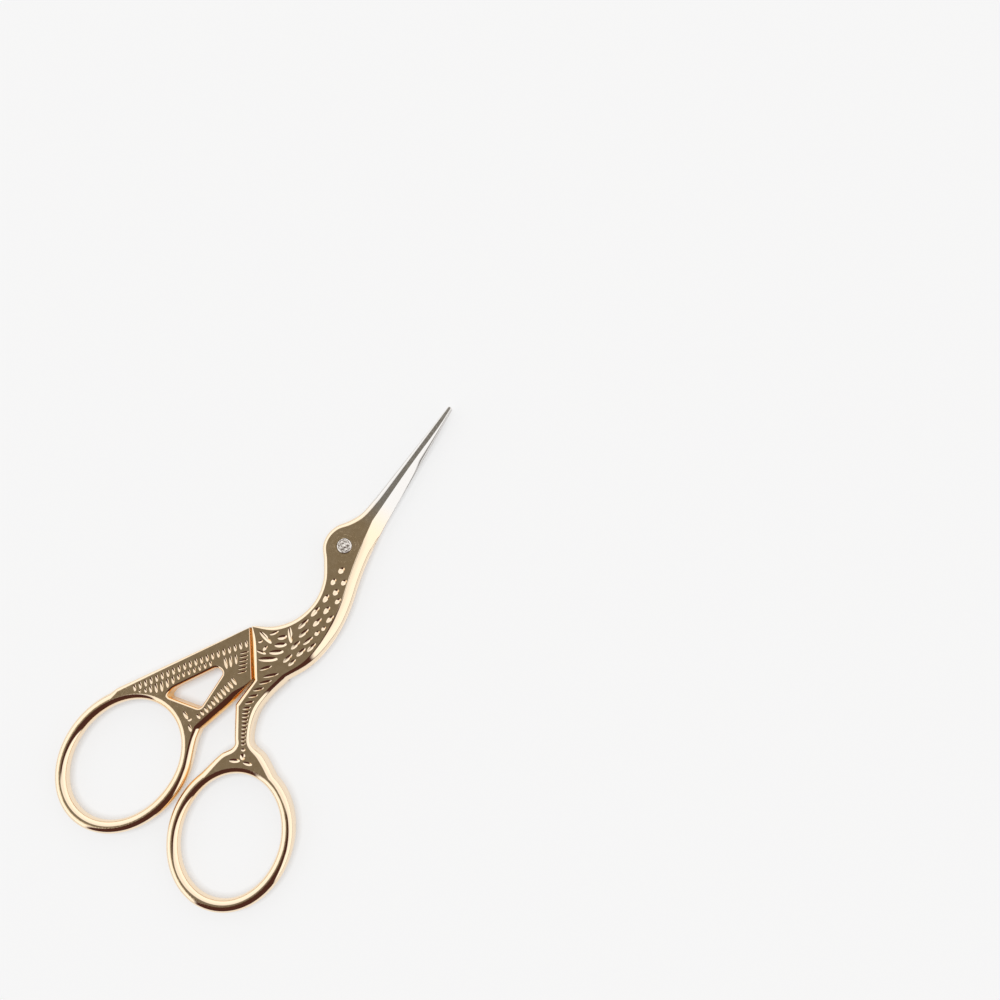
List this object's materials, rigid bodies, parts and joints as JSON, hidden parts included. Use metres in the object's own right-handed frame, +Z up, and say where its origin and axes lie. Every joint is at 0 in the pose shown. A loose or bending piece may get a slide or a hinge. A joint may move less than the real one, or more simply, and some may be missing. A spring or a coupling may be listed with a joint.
{
  "type": "embroidery scissors",
  "caption": "Stork-shaped embroidery scissors: lapped halves on a pivot screw, beak blades, and a leg and a windowed wing that end in finger bows.",
  "frame": {"origin": "middle of the closed pair's plan, on the surface that it lies on", "axes": "+X along the closed blades towards the tip, +Y towards the stork's back and the wing's bow, +Z up out of the engraved face"},
  "size_m": [0.1148, 0.0538, 0.0044],
  "materials": {
    "leg_half_plating": "forged steel, engraved, polished and gold plated; blade bevel ground bright",
    "wing_half_plating": "forged steel, engraved, polished and gold plated; blade bevel ground bright",
    "screw_steel": "bare steel, hammered at the riveted end"
  },
  "bodies": {
    "leg_side": {"leg_half": "leg_half_plating", "pivot_screw": "screw_steel"},
    "wing_side": {"wing_half": "wing_half_plating"}
  },
  "joints": [
    {"name": "blade_pivot", "type": "hinge", "parent": "leg_side", "child": "wing_side", "pos_m": [0.02102, 0.00373, 0.0021], "axis": [0, 0, -1], "range_deg": [0, 90]}
  ]
}
